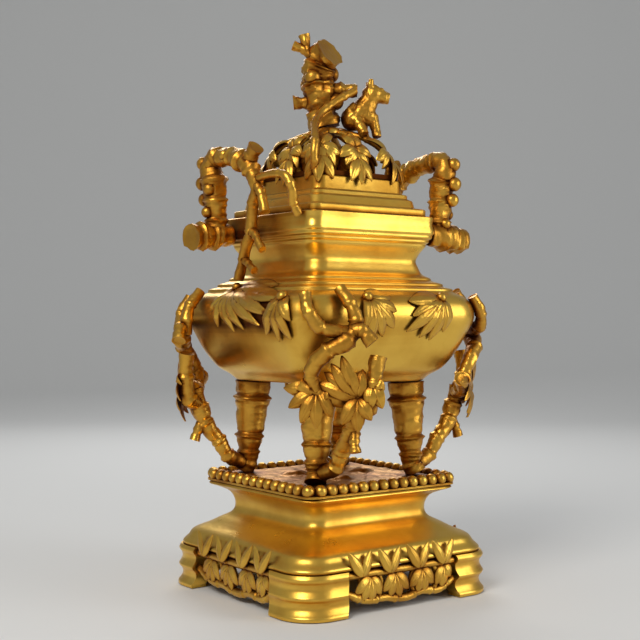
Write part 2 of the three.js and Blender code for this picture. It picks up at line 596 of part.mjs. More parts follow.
// Slim cane that climbs from the plateau to the finial's branch
const cane = seated(stem([[-24, -21.8, 0.2 - domeHeight], [-27, -24.6, 8 - domeHeight], [-25.4, -23.2, 15 - domeHeight],
  [-19, -14.6, -1], [-11, -9.4, 6], [-3, -10.6, 12], [6.4, -12.6, 17.6]].map(finialPoint),
[1.9, 1.8, 1.8, 1.8, 1.8, 1.8, 2], [0.7, 2, 3, 4.4, 5.4], 6), [roomRound(stump), roomRound(fretwork), roomRound(beast),
  box(vector(-50, -50, 0), vector(50, 50, domeBase))]);
addNode('finial_cane', cane, 'aged');

export default object;
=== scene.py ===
import json
import math

import bpy
import numpy as np
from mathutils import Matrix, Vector, noise
from mathutils.bvhtree import BVHTree


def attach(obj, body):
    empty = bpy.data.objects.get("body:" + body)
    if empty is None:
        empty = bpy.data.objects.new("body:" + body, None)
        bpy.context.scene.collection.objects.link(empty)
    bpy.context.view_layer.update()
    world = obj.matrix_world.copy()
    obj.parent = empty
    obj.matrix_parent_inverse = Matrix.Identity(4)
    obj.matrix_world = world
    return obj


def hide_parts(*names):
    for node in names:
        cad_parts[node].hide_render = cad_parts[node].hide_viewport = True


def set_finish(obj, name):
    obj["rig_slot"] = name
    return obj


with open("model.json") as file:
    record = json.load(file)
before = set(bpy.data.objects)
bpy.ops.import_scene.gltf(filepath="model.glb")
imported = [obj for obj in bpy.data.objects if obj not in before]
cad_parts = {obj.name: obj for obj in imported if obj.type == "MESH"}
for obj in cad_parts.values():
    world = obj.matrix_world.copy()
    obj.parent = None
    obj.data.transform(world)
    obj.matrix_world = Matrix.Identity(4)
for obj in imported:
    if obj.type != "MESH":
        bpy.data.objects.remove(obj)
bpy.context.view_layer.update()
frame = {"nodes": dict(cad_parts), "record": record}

# Sizes in millimetres, the same ones that the construction uses
MM = 0.001
FIT_GAP = 0.3
FOOT_HALF = 57.9
FOOT_HEIGHT = 19.4
SKIRT_BASE = FOOT_HEIGHT + FIT_GAP
STAND_TOP = 50.1
GROUND_BASE = STAND_TOP + FIT_GAP
GROUND_TOP = GROUND_BASE + 3.8
LEG_BASE = GROUND_TOP + FIT_GAP
LEG_TOP = LEG_BASE + 45.4
BOWL_BASE = LEG_TOP + FIT_GAP
VESSEL_HEIGHT = 78.35
LIP_TOP = BOWL_BASE + VESSEL_HEIGHT
COVER_BASE = LIP_TOP + FIT_GAP
COVER_HEIGHT = 17.3
DOME_BASE = COVER_BASE + COVER_HEIGHT + FIT_GAP
DOME_HEIGHT = 25.5
DOME_TOP = DOME_BASE + DOME_HEIGHT
FINIAL_BASE = DOME_TOP + FIT_GAP
FINIAL_HEIGHT = 46.5
CORNERS = ("back_right", "back_left", "front_left", "front_right")


# Shapes: each returns a pair, its points and its faces
def square_ring(half, corner, z, arc_steps=12):
    points = []
    radius = min(corner, half - 0.5)
    centre = half - radius
    for side in range(4):
        centre_x = centre if side in (0, 3) else -centre
        centre_y = centre if side < 2 else -centre
        for step in range(arc_steps + 1):
            angle = (side + step / arc_steps) * math.pi / 2
            x = centre_x + radius * math.cos(angle)
            y = centre_y + radius * math.sin(angle)
            points.append((x, y, z))
    return np.array(points)


def loft(rings, ring_shaped=False):
    count = len(rings[0])
    points = np.concatenate(rings)
    faces = []
    bands = len(rings) if ring_shaped else len(rings) - 1
    for band in range(bands):
        low = band * count
        high = ((band + 1) % len(rings)) * count
        for here in range(count):
            after = (here + 1) % count
            faces.append((low + here, low + after, high + after, high + here))
    if not ring_shaped:
        last = (len(rings) - 1) * count
        faces.append(tuple(range(count - 1, -1, -1)))
        faces.append(tuple(last + here for here in range(count)))
    return points, faces


def catmull(points, samples):
    """Centripetal curve through the points, at places counted in points, and its tangents."""
    points = np.array(points, float)
    before = 2 * points[0] - points[1]
    after = 2 * points[-1] - points[-2]
    padded = np.vstack([before, points, after])
    places = []
    tangents = []
    for sample in samples:
        span = min(int(sample), len(points) - 2)
        share = sample - span
        p0, p1, p2, p3 = padded[span:span + 4]
        d0 = max(np.linalg.norm(p1 - p0), 1e-6) ** 0.5
        d1 = max(np.linalg.norm(p2 - p1), 1e-6) ** 0.5
        d2 = max(np.linalg.norm(p3 - p2), 1e-6) ** 0.5
        t1 = ((p1 - p0) / d0 - (p2 - p0) / (d0 + d1) + (p2 - p1) / d1) * d1
        t2 = ((p2 - p1) / d1 - (p3 - p1) / (d1 + d2) + (p3 - p2) / d2) * d1
        c2 = -3 * p1 + 3 * p2 - 2 * t1 - t2
        c3 = 2 * p1 - 2 * p2 + t1 + t2
        places.append(p1 + t1 * share + c2 * share ** 2 + c3 * share ** 3)
        tangent = t1 + 2 * c2 * share + 3 * c3 * share ** 2
        tangents.append(tangent / max(np.linalg.norm(tangent), 1e-9))
    return np.array(places), np.array(tangents)


# Bamboo: how much each ring swells, the groove above it and the belly below it,
# each as a share of the radius, with its distance from the ring and its width in millimetres
RING_SWELL, RING_WIDTH = 0.19, 0.8
GROOVE_DEPTH, GROOVE_PLACE, GROOVE_WIDTH = 0.08, 1.7, 0.8
BELLY_SWELL, BELLY_PLACE, BELLY_WIDTH = 0.07, 2.6, 1.6
STEPS_PER_SPAN = 12
CUT_HOLLOW = 0.3
CUT_RINGS = (0.86, 0.72, 0.55)
KNOT_SCALES = (0.22, 0.6)


def bump_at(gap, width):
    return math.exp(-(gap / width) ** 2)


def stem(points, radii, nodes=(), sides=14, gnarl=0.03, spacing=0.7):
    """A bamboo stem: swollen rings with a groove above them, and cut ends with a raised rim."""
    points = np.array(points, float)
    spans = len(points) - 1
    coarse_stops = np.linspace(0, spans, spans * STEPS_PER_SPAN + 1)
    coarse, _ = catmull(points, coarse_stops)
    steps = np.linalg.norm(np.diff(coarse, axis=0), axis=1)
    travelled = np.concatenate([[0], np.cumsum(steps)])
    count = max(int(travelled[-1] / spacing), 4)
    lengths = np.linspace(0, travelled[-1], count + 1)
    stops = np.interp(lengths, travelled, coarse_stops)
    node_lengths = [np.interp(node, coarse_stops, travelled) for node in nodes]
    places, tangents = catmull(points, stops)
    across = np.cross((0.31, 0.17, 0.93), tangents[0])
    rings = []
    angles = np.arange(sides) / sides * 2 * math.pi
    for place, along, stop, length in zip(places, tangents, stops, lengths):
        across = across - along * across.dot(along)
        across = across / np.linalg.norm(across)
        over = np.cross(along, across)
        radius = np.interp(stop, range(spans + 1), radii)
        swell = 1.0
        for node_length in node_lengths:
            gap = length - node_length
            swell += RING_SWELL * bump_at(gap, RING_WIDTH)
            swell -= GROOVE_DEPTH * bump_at(gap - GROOVE_PLACE, GROOVE_WIDTH)
            swell += BELLY_SWELL * bump_at(gap + BELLY_PLACE, BELLY_WIDTH)
        spokes = np.outer(np.cos(angles), across) + np.outer(np.sin(angles), over)
        ring = place + spokes * radius * swell
        if gnarl:
            for row in range(sides):
                wave = noise.noise(Vector(ring[row] * KNOT_SCALES[0]))
                wave += 0.5 * noise.noise(Vector(ring[row] * KNOT_SCALES[1]))
                ring[row] += (ring[row] - place) * gnarl * wave * 2
        rings.append(ring)
    first, last = rings[0], rings[-1]
    start, end = places[0], places[-1]
    rim, step_in, middle = CUT_RINGS
    sunk_start = tangents[0] * CUT_HOLLOW
    sunk_end = tangents[-1] * CUT_HOLLOW
    first_rings = [start + (first - start) * middle + sunk_start,
                   start + (first - start) * step_in + sunk_start,
                   start + (first - start) * rim]
    last_rings = [end + (last - end) * rim,
                  end + (last - end) * step_in - sunk_end,
                  end + (last - end) * middle - sunk_end]
    return loft(first_rings + rings + last_rings)


# Leaves: rows along, columns across, and the two powers that set where a leaf is widest
LEAF_ROWS = 18
LEAF_COLUMNS = 13
LEAF_WIDEST = 0.3
ROOT_POWER, TIP_POWER = 0.55, 0.8
LEAF_GROOVES = ((0.36, 0.12, 0.22), (0.7, 0.1, 0.14))


def leaf(base, tip, width, outward, arch=1.2, thickness=1.9):
    """A bamboo leaf: pointed, arched, with a raised midrib and a groove along each half."""
    base = np.array(base, float)
    tip = np.array(tip, float)
    along = tip - base
    direction = along / np.linalg.norm(along)
    across = np.cross(direction, outward)
    across = across / np.linalg.norm(across)
    up = np.cross(across, direction)
    rings = []
    columns = np.linspace(-1, 1, LEAF_COLUMNS)
    widest = (LEAF_WIDEST ** ROOT_POWER) * ((1 - LEAF_WIDEST) ** TIP_POWER)
    for place in np.linspace(0.015, 0.995, LEAF_ROWS):
        share = (place ** ROOT_POWER) * ((1 - place) ** TIP_POWER) / widest + 0.05
        centre = base + along * place + up * arch * 4 * place * (1 - place)
        half = width / 2 * share * 1.08
        rise = thickness / 2 * (0.35 + 0.65 * share)
        top = rise * (1 - np.abs(columns) ** 2.4) * 1.1 + 0.2 * rise * np.exp(-(columns / 0.13) ** 2)
        for groove_place, groove_width, groove_depth in LEAF_GROOVES:
            gaps = np.abs(columns) - groove_place
            top = top - groove_depth * rise * np.exp(-(gaps / groove_width) ** 2)
        ring = [centre + across * half * c + up * (t - 0.35 * rise) for c, t in zip(columns, top)]
        ring += [centre + across * half * c - up * rise * 0.75 for c in (0.7, 0.0, -0.7)]
        rings.append(np.array(ring))
    return loft(rings)


def ball(centre, radius, rows=9, columns=14):
    rings = []
    for row in range(1, rows):
        angle = math.pi * row / rows
        turn = np.arange(columns) / columns * 2 * math.pi
        level = np.full(columns, -math.cos(angle))
        ring = np.stack([np.cos(turn) * math.sin(angle), np.sin(turn) * math.sin(angle), level], axis=1)
        rings.append(ring * radius + np.array(centre))
    return loft(rings)


def turned(shape, degrees):
    points, faces = shape
    angle = math.radians(degrees)
    cosine, sine = math.cos(angle), math.sin(angle)
    matrix = np.array([[cosine, -sine, 0], [sine, cosine, 0], [0, 0, 1]])
    return points @ matrix.T, faces


def smooth_profile(profile, substeps=4):
    samples = np.linspace(0, len(profile) - 1, (len(profile) - 1) * substeps + 1)
    places, _ = catmull(profile, samples)
    return [square_ring(half, corner, z) for half, corner, z in places]


# Pieces: points and faces become one object on a body, in place of the plain solid
made = []


def raw_piece(name, shapes):
    points = []
    faces = []
    for shape_points, shape_faces in shapes:
        start = sum(len(block) for block in points)
        points.append(shape_points)
        faces += [tuple(start + corner for corner in face) for face in shape_faces]
    mesh = bpy.data.meshes.new(name)
    mesh.from_pydata((np.concatenate(points) * MM).tolist(), [], faces)
    mesh.validate()
    mesh.update()
    piece = bpy.data.objects.new(name, mesh)
    bpy.context.scene.collection.objects.link(piece)
    return piece


def add_piece(name, shapes, body, slot, nodes, sharp=40):
    piece = raw_piece(name, shapes)
    finish_piece(piece, body, slot, nodes, sharp)


def select_only(piece):
    bpy.ops.object.select_all(action="DESELECT")
    piece.select_set(True)
    bpy.context.view_layer.objects.active = piece


def finish_piece(piece, body, slot, nodes, sharp=40):
    select_only(piece)
    bpy.ops.object.shade_smooth_by_angle(angle=math.radians(sharp))
    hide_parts(*nodes)
    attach(piece, body)
    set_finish(piece, slot)
    made.append(piece)


def melt(piece, voxel, rounds, ripple, scale):
    """Turns a piece into one softly rounded cast form: merged, remeshed, smoothed and rippled."""
    select_only(piece)
    merge = piece.modifiers.new("merge", "WELD")
    merge.merge_threshold = 1e-5
    bpy.ops.object.modifier_apply(modifier=merge.name)
    remesh = piece.modifiers.new("remesh", "REMESH")
    remesh.mode = "VOXEL"
    remesh.voxel_size = voxel * MM
    bpy.ops.object.modifier_apply(modifier=remesh.name)
    soften = piece.modifiers.new("soften", "SMOOTH")
    soften.factor = 0.5
    soften.iterations = rounds
    bpy.ops.object.modifier_apply(modifier=soften.name)
    for vertex in piece.data.vertices:
        wave = noise.noise(vertex.co * scale) + 0.5 * noise.noise(vertex.co * scale * 2.3)
        vertex.co += vertex.normal * wave * ripple * MM


# Stand
STAND_PROFILE = [
    [55.6, 15, SKIRT_BASE], [55.7, 15, SKIRT_BASE + 1.2], [53.4, 14, SKIRT_BASE + 4],
    [52, 14, SKIRT_BASE + 6.6],
    [46, 12, SKIRT_BASE + 9.8], [41.5, 10, SKIRT_BASE + 12.4], [36, 8, SKIRT_BASE + 16],
    [35.2, 8, SKIRT_BASE + 20.6],
    [37.1, 8, SKIRT_BASE + 25.5], [42, 9, SKIRT_BASE + 28.2], [45, 10, STAND_TOP - 1],
    [44.4, 10, STAND_TOP],
]
CAVITY = [
    [29.2, 6, SKIRT_BASE + 14], [41.2, 8, SKIRT_BASE + 8], [46, 9, SKIRT_BASE + 2], [49.6, 10, SKIRT_BASE],
]
add_piece("stand_body", [loft([square_ring(*row) for row in CAVITY] + smooth_profile(STAND_PROFILE))],
          "stand", "polished_gilt", ["stand_shell"], 50)

FOOT_PROFILE = [
    [57.9, 17, 0], [57.9, 17, 1.4], [57.2, 17, 2.6], [56.3, 17, 5], [56.6, 17, 7.6],
    [57.4, 17, 8.8], [57.7, 17, 9.8],
    [57.2, 17, 11], [56.5, 17, 13], [56.4, 16, 15.4], [57.2, 16, 16.8], [57.3, 16, 17.8],
    [56.6, 16, FOOT_HEIGHT],
]
FOOT_WALL = 8
FOOT_REACH = 25


def corner_arc(half, corner, z, reach, steps=16):
    """The outline of one corner, from the end of one side round to the end of the other."""
    centre = half - corner
    points = [(half, half - reach, z)]
    for step in range(steps + 1):
        angle = step / steps * math.pi / 2
        points.append((centre + corner * math.cos(angle), centre + corner * math.sin(angle), z))
    points.append((half - reach, half, z))
    return points


def foot_shape():
    rings = []
    places, _ = catmull(FOOT_PROFILE, np.linspace(0, len(FOOT_PROFILE) - 1, 40))
    for half, corner, z in places:
        outer = corner_arc(half, corner, z, FOOT_REACH)
        inner = corner_arc(half - FOOT_WALL, 10, z, FOOT_REACH - FOOT_WALL)
        rings.append(np.array(outer + inner[::-1]))
    return loft(rings)


for quarter, corner_name in enumerate(CORNERS):
    add_piece(f"foot_{corner_name}", [turned(foot_shape(), quarter * 90)], "stand", "polished_gilt",
              [f"stand_foot_{corner_name}"], 45)

# Aprons: canes and leaves between the feet
APRON_OUT = -(FOOT_HALF - 4.2)
APRON_HALF = FOOT_HALF - FOOT_REACH - FIT_GAP - 1
APRON_TOP = FOOT_HEIGHT - 2.2
APRON_CANES = [
    [[[-APRON_HALF, APRON_TOP], [0, APRON_TOP - 0.2], [APRON_HALF, APRON_TOP]], 2, [0.3, 0.8, 1.3, 1.75]],
    [[[-APRON_HALF, 9.5], [-20, 5.4], [-9, 5.2], [2, 3.6], [13, 5.4], [22, 4.6], [APRON_HALF, 8.5]], 1.9,
     [0.6, 1.5, 2.5, 3.5, 4.5, 5.4]],
    [[[-24, APRON_TOP], [-22, 11], [-21, 5.6]], 1.4, [1]],
    [[[-13, APRON_TOP], [-11, 11], [-13, 5.4]], 1.2, [1.2]],
    [[[-4, APRON_TOP], [-1, 11], [-2, 4.4]], 1.4, [0.9]],
    [[[8, APRON_TOP], [6, 10], [8, 5]], 1.2, [1]],
    [[[19, APRON_TOP], [22, 11], [20, 5]], 1.4, [1.1]],
    [[[28, APRON_TOP], [26, 12], [28, 7]], 1.2, [1]],
]
APRON_LEAVES = [
    [-18, 15.5, -27, 9], [-18, 15.5, -23, 5], [-18, 15.5, -17.5, 4], [-18, 15.5, -12, 7],
    [-4, 15.5, -11, 8],
    [-4, 15.5, -7, 5], [-4, 15.5, -1, 4], [-4, 15.5, 4, 7.5], [12, 15.5, 4.6, 8], [12, 15.5, 9, 4.6],
    [12, 15.5, 14, 4.4], [12, 15.5, 19, 8], [25, 15.5, 20, 7], [25, 15.5, 24, 5], [25, 15.5, 29.6, 9.6],
]


# Leaves that rise from the aprons over the edge of the skirt: root, then tip, along the side
RISING_LEAVES = [[-24, -31], [-24, -18], [-8, -14], [-8, -1], [9, 2.5], [9, 16], [24, 18], [24, 31]]
RISING_ROOT = (57, FOOT_HEIGHT - 2.6)
RISING_TIP = (55, FOOT_HEIGHT + 8.4)


def apron_point(s, z, proud=0.0):
    return (s, APRON_OUT - proud, z)


def apron_shapes():
    shapes = []
    for points, radius, nodes in APRON_CANES:
        route = [apron_point(s, z) for s, z in points]
        shapes.append(stem(route, [radius] * len(points), nodes, sides=12, spacing=0.5))
    for s, z, tip_s, tip_z in APRON_LEAVES:
        shapes.append(leaf(apron_point(s, z, 1), apron_point(tip_s, tip_z, 1.2), 5.4, (0, -1, 0), 0.9, 1.5))
    for s, tip_s in RISING_LEAVES:
        root = (s, -RISING_ROOT[0], RISING_ROOT[1])
        tip = (tip_s, -RISING_TIP[0], RISING_TIP[1])
        shapes.append(leaf(root, tip, 4.6, (0, -1, 0), 0.5, 1.5))
    return shapes


for quarter, side_name in enumerate(("front", "right", "back", "left")):
    shapes = [turned(shape, quarter * 90) for shape in apron_shapes()]
    add_piece(f"apron_canes_{side_name}", shapes, "stand", "leaf_gilt", [f"apron_{side_name}"])

# Bead border
BEAD_LINE = 42.4
BEAD_RADIUS = 3
BEADS_PER_SIDE = 14
bead_level = GROUND_BASE + BEAD_RADIUS
line_points = square_ring(BEAD_LINE, 5, bead_level)
closed_line = np.vstack([line_points, line_points[:1]])
line_length = np.concatenate([[0], np.cumsum(np.linalg.norm(np.diff(closed_line, axis=0), axis=1))])
bead_count = BEADS_PER_SIDE * 4
bead_shapes = []
for bead in range(bead_count):
    travelled = (bead + 0.5) / bead_count * line_length[-1]
    centre = [np.interp(travelled, line_length, closed_line[:, axis]) for axis in range(3)]
    bead_shapes.append(ball(centre, BEAD_RADIUS * 0.99))
strip = [square_ring(BEAD_LINE + side, 5 + side / 2, GROUND_BASE + rise)
         for side, rise in ((2, 0), (2, 1), (-2, 1), (-2, 0))]
add_piece("beads", bead_shapes + [loft(strip, True)], "stand", "leaf_gilt", ["bead_border"], 60)
rockwork = bpy.data.objects.new("rockwork", frame["nodes"]["stand_ground"].data.copy())
bpy.context.scene.collection.objects.link(rockwork)
melt(rockwork, 0.9, 6, 0.55, 160)
finish_piece(rockwork, "stand", "dark_gilt", ["stand_ground"], 60)

# Vessel bowl
BODY_PROFILE = [
    [36.6, 15, 0], [39.2, 16, 2.6], [43.4, 16, 6], [48.3, 16, 14], [51.8, 16, 22.5],
    [54.4, 16, 30], [53.6, 16, 36],
    [50.8, 15, 39.8], [46.6, 14, 42.4], [46.2, 13, 43.6], [42.7, 12, 44.9], [42.3, 11, 46],
    [38.2, 10, 47.7],
    [37.6, 9, 48.8], [34.6, 8.5, 50.8], [33, 8, 54.4], [32.3, 8, 57.1], [33.5, 8, 60.7],
    [35.2, 7, 64], [35.5, 7, 65.2],
    [36.3, 7, 66], [36.5, 7, 67.2], [37.4, 7, 68], [37.6, 7, 69.4], [38, 6, 70.6],
    [37.4, 6, 74.4], [37.7, 6, 77.9],
]
BOWL_INSIDE = [
    [31, 5, VESSEL_HEIGHT], [31, 5, 69], [28.3, 6, 60], [28.3, 6, 51.6], [46, 12, 38.6],
    [50.4, 12, 30], [47.6, 12, 22],
    [43.6, 12, 13], [38.4, 12, 6.4], [34, 11, 4],
]
bowl_rings = smooth_profile([[half, corner, z + BOWL_BASE] for half, corner, z in BODY_PROFILE])
bowl_rings.append(square_ring(37.2, 6, LIP_TOP))
bowl_rings += [square_ring(half, corner, z + BOWL_BASE) for half, corner, z in BOWL_INSIDE]
add_piece("bowl", [loft(bowl_rings)], "vessel", "polished_gilt", ["vessel_bowl"], 50)


def side_out(s, z):
    level = z - BOWL_BASE
    heights = [row[2] for row in BODY_PROFILE]
    half = np.interp(level, heights, [row[0] for row in BODY_PROFILE])
    corner = np.interp(level, heights, [row[1] for row in BODY_PROFILE])
    past = min(max(abs(s) - (half - corner), 0), corner)
    return half - corner + math.sqrt(corner ** 2 - past ** 2)


def on_side(s, z, lift=1.5):
    return (s, -side_out(s, z) - lift, z)


# Legs
LEG_PATH = [
    [30.1, LEG_BASE + 1, 5], [28.5, LEG_BASE + 5, 4.2], [28.1, LEG_BASE + 12, 5.4],
    [27.5, LEG_BASE + 22, 6.8],
    [26.9, LEG_TOP - 11, 7.9], [26.5, LEG_TOP - 0.6, 8.8],
]
leg_shape = stem([[place, place, z] for place, z, _ in LEG_PATH], [row[2] for row in LEG_PATH],
                 [0.9, 1.7, 2.6, 4.2], sides=24, gnarl=0.04, spacing=0.6)
for quarter, corner_name in enumerate(CORNERS):
    add_piece(f"bamboo_leg_{corner_name}", [turned(leg_shape, quarter * 90)], "vessel", "aged_gilt",
              [f"leg_{corner_name}"])

# Leg branches, in the near corner's own directions: outward, sideways, up
BRANCH_STEMS = [
    [[[43, 3, 59.5], [48, 10, 63.5], [52, 13, 71], [57, 17.5, 79], [59, 20, 86], [62, 21, 96]],
     [3.4, 3.4, 3.6, 3.8, 4, 4.2], [1, 2, 3.2, 4.2]],
    [[[58, 19, 82], [61, 20, 75], [62, 20.5, 71.5]], [2.4, 2.2, 2.6], [0.8]],
    [[[59, 20, 88], [63, 26.5, 92], [64, 28.6, 99], [64, 29.4, 107], [63, 30.5, 113.5]],
     [3.2, 3.6, 3.6, 3.4, 3.8], [1, 2.4]],
    [[[61, 20, 93], [64, 11.6, 95.3], [65, 3, 98], [65, -3.5, 101]], [3.4, 3.8, 3.4, 4], [1.4]],
    [[[65, 4, 98], [66, 1.6, 104], [68, 3.4, 110], [70, 9.8, 116], [69, 17, 120], [67, 20, 124]],
     [3.4, 3.2, 3.6, 3.6, 3.8, 3.6], [1, 3, 4.2]],
    [[[67, 19, 124], [68, 24, 124.5], [68, 28.4, 119.3]], [3.2, 3.2, 3.4], [1]],
    [[[69.5, -0.6, 140.5], [73.5, 2.1, 132], [72.5, 6.5, 126], [67.5, 17.5, 123.6]],
    [2.6, 2.6, 2.9, 3.2], [1, 2]],
    [[[61, 13.4, 143], [65, 18.6, 135.6], [65.6, 21.2, 129], [66.5, 20, 122.5]],
    [2.7, 2.8, 2.9, 3.2], [0.9, 2]],
]
BRANCH_SPRAYS = [
    [[66.5, 22, 95.5], [[66, 7.3, 106.7], [69, 15.2, 114], [68.5, 10.5, 110.5], [65, 24, 108], [66, 4, 102],
                        [67, 28, 86], [66, 22, 80.5], [66.5, 15, 84]]],
    [[66, 4, 99], [[66, -8.5, 91], [67, -3, 84.5], [67, 4, 82], [66, 11, 87], [64, -11, 99.5]]],
    [[65.5, 28.4, 102], [[65.5, 32.6, 91], [67, 27, 90.5], [65, 33.4, 99]]],
]
DIAGONAL = math.sqrt(0.5)


def corner_point(outward, sideways, z):
    return ((sideways - outward) * DIAGONAL, (-outward - sideways) * DIAGONAL, z)


branch_shapes = [stem([corner_point(*point) for point in points], radii, nodes, gnarl=0.09)
                 for points, radii, nodes in BRANCH_STEMS]
branch_shapes += [leaf(corner_point(*root), corner_point(*tip), 5.8, corner_point(1, 0, 0), 2.2)
                  for root, tips in BRANCH_SPRAYS for tip in tips]
branch_shapes.append(ball(corner_point(63, 21, 96), 4.4, rows=12, columns=18))
for quarter, corner_name in enumerate(CORNERS):
    shapes = [turned(shape, quarter * 90 - 180) for shape in branch_shapes]
    add_piece(f"bamboo_branch_{corner_name}", shapes, "vessel", "aged_gilt", [f"leg_branch_{corner_name}"])

# Leaf sprays on the shoulder
SPRAYS = [
    ["handle_spray", -90, [-10.4, 144.4], 6.4,
     [[-14.8, 125.8], [-1.7, 123.6], [6.8, 124.6], [20.7, 126.6], [36.9, 138.6], [21.2, 144.8],
     [-20.1, 132.9],
      [-8.2, 129], [13, 134.2], [29.5, 131.6]]],
    ["corner_spray", -90, [36.5, 139.5], 6.4,
     [[24, 122.5], [32.5, 119.5], [40.5, 120.5], [28.2, 129.4], [44, 128.6]]],
    ["shoulder_spray", 0, [-18.5, 139.5], 6.6,
     [[-4.7, 139.5], [-3.3, 133.1], [-3.8, 125.5], [-9.4, 121.6], [-15.6, 119.1], [-20.6, 124.4],
     [-11.8, 130]]],
    ["side_spray", 0, [25.5, 139.5], 6.6,
     [[5.2, 137.8], [6.1, 131], [3.9, 123.8], [12.5, 120.9], [18.9, 119.6], [26.4, 123.4], [16.6, 130.2]]],
]


def draped_leaf(origin, tip, width):
    """A leaf whose midline follows the vessel's side from its root to its tip."""
    shape_points, shape_faces = leaf((0, 0, 0), (1, 0, 0), width, (0, 0, 1), 0, 1.9)
    start = np.array(origin, float)
    span = np.array(tip, float) - start
    along = span / np.linalg.norm(span)
    sideways = np.array([along[1], -along[0]])
    points = []
    for reach, off, height in shape_points:
        s, z = start + span * reach + sideways * off
        lift = 1.2 + height + 1.3 * math.sin(math.pi * min(max(reach, 0), 1))
        points.append((s, -side_out(s, z) - lift, z))
    return np.array(points), [face[::-1] for face in shape_faces]


for name, turn, origin, width, tips in SPRAYS:
    shapes = [draped_leaf(origin, tip, width) for tip in tips]
    shapes.append(ball(on_side(*origin, 1.8), 2.5))
    for letter, extra in (("a", 0), ("b", 180)):
        add_piece(f"{name}_leaves_{letter}", [turned(shape, turn + extra) for shape in shapes], "vessel",
                  "leaf_gilt", [f"{name}_{letter}"])

# Handles
HANDLE_STEMS = [
    [[[38.6, 29, 170.6], [47, 29.2, 169.9], [55, 28.3, 169.2], [61.5, 27.4, 168.6]],
    [5.4, 6.2, 5.8, 6.6], [1.2, 2.2]],
    [[[47, 29.2, 169.9], [46.5, 29, 177], [47, 29.1, 187], [47.5, 29.3, 196.8], [48, 31, 203.4],
    [48, 26.6, 207.4],
      [48, 20, 206.8], [48, 12, 206], [48, 5, 204], [47.5, -1, 201], [47, -5.4, 195], [46.5, -6, 189],
      [46, -2.7, 183.3], [45.5, -0.3, 176.6], [45, 0.5, 170.1], [45.6, 3.8, 163.8],
      [45, 7.4, 157.4], [45.8, 10, 148]],
     [5.2, 5, 5.3, 5.8, 5.2, 4.4, 4.6, 4.2, 4.8, 4.7, 3.6, 2.9, 2.7, 2.7, 2.6, 2.6, 2.5, 2.6],
     [1, 2, 3, 5.4, 7, 8.2, 9.5, 12, 14, 16]],
    [[[47, -4.8, 193], [47, -10.6, 188], [48, -15.6, 178]], [2.4, 2, 2.3], [1]],
    [[[45, 0.4, 171], [45.6, -4.5, 168], [46.5, -11.2, 161.2]], [2.2, 1.8, 2], [1]],
    [[[45, 7.2, 158], [45.4, 2, 155.4], [46.6, -5, 151.8]], [2.1, 1.7, 1.9], [1]],
    [[[47.5, 0, 201.5], [48, -4, 205], [48, -8, 208.5]], [3.8, 3.2, 3.9], [1]],
]
HANDLE_KNOBS = [[50, 35, 205, 3.4], [50, 35.4, 195.4, 3.6], [49, 35, 187.6, 3.4], [51.5, 27, 192, 3.2],
                [51.6, 29, 181, 2.8], [46, 33.4, 176, 2.8], [51.4, 14, 207, 2.6]]
TWIG = [[47, -8.6, 194.4], [46.4, -20, 195.4], [45.4, -28.4, 193.6], [43.6, -30.8, 187.4],
        [41.6, -29, 181.6], [38.9, -29.3, 176.4]]
handle_shapes = [stem([[-x, y, z] for x, y, z in points], radii, nodes, sides=16, gnarl=0.1)
                 for points, radii, nodes in HANDLE_STEMS]
handle_shapes += [ball((-x, y, z), radius) for x, y, z, radius in HANDLE_KNOBS]
TWIG_RADII = [1.9, 1.8, 1.9, 2, 2, 2.2]
twig_shape = stem([[-x, y, z] for x, y, z in TWIG], TWIG_RADII, [1.4, 2.6, 4], gnarl=0.05)
for side_name, turn in (("left", 0), ("right", 180)):
    shapes = [turned(shape, turn) for shape in handle_shapes]
    add_piece(f"branch_handle_{side_name}", shapes, "vessel", "aged_gilt", [f"handle_{side_name}"])
    shapes = [turned(twig_shape, turn)]
    add_piece(f"twig_{side_name}", shapes, "vessel", "aged_gilt", [f"handle_twig_{side_name}"])

# Cover
COVER_PROFILE = [
    [30.4, 4.4, -4], [30.4, 4.4, -0.1], [30.6, 4.4, 0], [34.4, 4.6, 0], [34.6, 4.6, 0.3], [34.6, 4.6, 2.8],
    [34.2, 4.6, 3.3], [31.2, 5, 3.9], [30.9, 5, 4.3], [30.3, 5, 7.2], [30, 5, 7.6],
    [28.8, 5, 8.2], [28.5, 5, 8.6],
    [28.5, 5, 9.9], [28.2, 5, 10.3], [26.5, 5, 10.8], [26.2, 5, 11.3], [26.2, 5, 16.5], [25.9, 5, 17.1],
    [25.3, 5, 17.3], [19, 4, 17.3], [19, 4, 13.9], [22.8, 4, 12.3], [27.2, 3.4, 2], [27.2, 3.4, -4],
]
cover_rings = [square_ring(half, corner, z + COVER_BASE) for half, corner, z in COVER_PROFILE]
add_piece("cover_body", [loft(cover_rings, True)], "cover", "polished_gilt", ["cover_shell"], 40)

DOME_PROFILE = [[22.8, 0], [24.6, 7], [21.4, 14], [15.4, 20.6], [5, DOME_HEIGHT - 1.4]]
ARCH_TURNS = [5, 45, 88, 135, 184, 225, 266, 315]
LEAF_LEVEL = 14


def on_dome(turn, z, lift=0.0):
    half = np.interp(z, [row[1] for row in DOME_PROFILE], [row[0] for row in DOME_PROFILE]) + lift
    angle = math.radians(turn)
    squareness = 0.62 / max(abs(math.cos(angle)), abs(math.sin(angle))) + 0.38
    return (half * squareness * math.cos(angle), half * squareness * math.sin(angle), DOME_BASE + z)


dome_shapes = [loft([square_ring(25.2, 6, DOME_BASE), square_ring(25, 6, DOME_BASE + 2.2),
                     square_ring(21.6, 5, DOME_BASE + 2.2), square_ring(21.4, 5, DOME_BASE)], True)]
